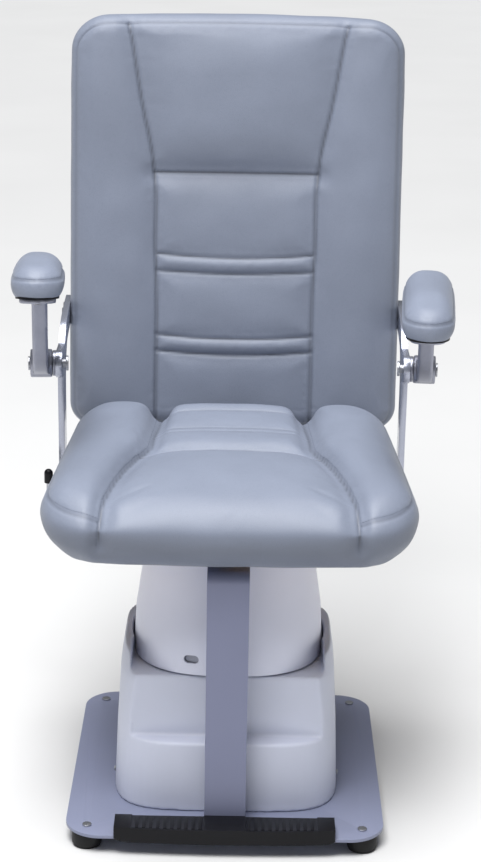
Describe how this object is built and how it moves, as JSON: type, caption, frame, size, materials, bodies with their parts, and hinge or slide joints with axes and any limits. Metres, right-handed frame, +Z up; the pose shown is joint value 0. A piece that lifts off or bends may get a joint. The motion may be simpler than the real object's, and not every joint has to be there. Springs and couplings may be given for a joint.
{
  "type": "motorised examination chair",
  "caption": "Powered lift examination chair: padded seat and back swivel on a covered telescopic column with a hanging footrest, flip-up arms and a swivel brake lever.",
  "frame": {"origin": "on the floor, in the middle of the chair's plan box; the lift and swivel axis stands 90.6 mm towards the front (-Y) from it", "axes": "+Z up, along the lift's travel; -Y is the side the sitter faces; +X is to the right of someone who faces the chair, which is the sitter's left"},
  "size_m": [0.6758, 0.7172, 1.1744],
  "materials": {
    "plate_paint": "satin",
    "band_paint": "satin",
    "column_paint": "satin",
    "white_shell": "satin",
    "black_plastic": "matte",
    "rubber": "matte",
    "steel": "satin",
    "silver_paint": "gloss",
    "silver_casting": "satin",
    "leather": "satin",
    "pad_leather": "satin",
    "rear_leather": "satin",
    "plywood": "matte",
    "black_bolt": "satin",
    "guide_plastic": "matte"
  },
  "bodies": {
    "base": {"base_plate": "plate_paint", "rubber_feet": "rubber", "foot_screws": "steel", "outer_column": "column_paint", "column_bolts": "steel", "guide_pads": "guide_plastic", "lower_housing": "white_shell", "housing_screws": "steel", "actuator_body": "silver_casting", "actuator_motor": "black_plastic", "actuator_lower_pin": "steel", "power_inlet": "black_plastic"},
    "lift": {"inner_column": "steel", "carriage_plate": "column_paint", "actuator_rod": "steel", "actuator_upper_pin": "steel", "upper_cover": "white_shell", "cover_screws": "steel", "access_plug": "white_shell", "swivel_post": "steel", "post_bolts": "steel", "lower_race": "steel", "bearing_balls": "steel", "footrest_bracket": "band_paint", "bracket_bolts": "steel", "footrest_tread": "black_plastic", "tread_screws": "steel"},
    "seat": {"upper_race": "steel", "seat_plate": "column_paint", "seat_plate_bolts": "steel", "seat_board": "plywood", "seat_cushion": "leather", "back_board": "plywood", "back_uprights": "steel", "back_cushion": "leather", "back_cover": "rear_leather", "left_side_bar": "silver_paint", "right_side_bar": "silver_paint", "side_bar_bolts": "black_bolt", "left_hub_plate": "silver_casting", "right_hub_plate": "silver_casting", "left_pivot_pin": "steel", "right_pivot_pin": "steel", "brake_rod_guide": "steel", "lever_bracket": "steel"},
    "brake": {"brake_shoe": "steel"},
    "lever": {"brake_lever": "steel", "brake_lever_knob": "black_plastic"},
    "left_arm": {"left_arm_casting": "silver_casting", "left_arm_pad_base": "black_plastic", "left_arm_pad": "pad_leather", "left_pad_screws": "steel"},
    "right_arm": {"right_arm_casting": "silver_casting", "right_arm_pad_base": "black_plastic", "right_arm_pad": "pad_leather", "right_pad_screws": "steel"}
  },
  "joints": [
    {"name": "lift", "type": "slide", "parent": "base", "child": "lift", "axis": [0, 0, 1], "range_m": [0, 0.2]},
    {"name": "swivel", "type": "hinge", "parent": "lift", "child": "seat", "pos_m": [0, -0.09055, 0.4335], "axis": [0, 0, 1], "continuous": true},
    {"name": "brake_lever_turn", "type": "hinge", "parent": "seat", "child": "lever", "pos_m": [-0.22731, 0.01352, 0.435], "axis": [-0.4163, -0.9092, 0], "range_deg": [0, 12], "stiffness_Nm_per_rad": 1.5, "springref_deg": -17.19},
    {"name": "brake_slide", "type": "slide", "parent": "seat", "child": "brake", "axis": [-0.9092, 0.4163, 0], "range_m": [0, 0.0018]},
    {"name": "right_arm_flip", "type": "hinge", "parent": "seat", "child": "right_arm", "pos_m": [0.305, 0.06745, 0.642], "axis": [-0.9969, 0.0785, 0], "range_deg": [0, 90]},
    {"name": "left_arm_flip", "type": "hinge", "parent": "seat", "child": "left_arm", "pos_m": [-0.305, 0.06745, 0.642], "axis": [-0.9969, -0.0785, 0], "range_deg": [-9.5, 80.5]}
  ],
  "couplings": [
    {"joint": "brake_slide", "follows": "brake_lever_turn", "m_per_rad": 0.0085}
  ]
}
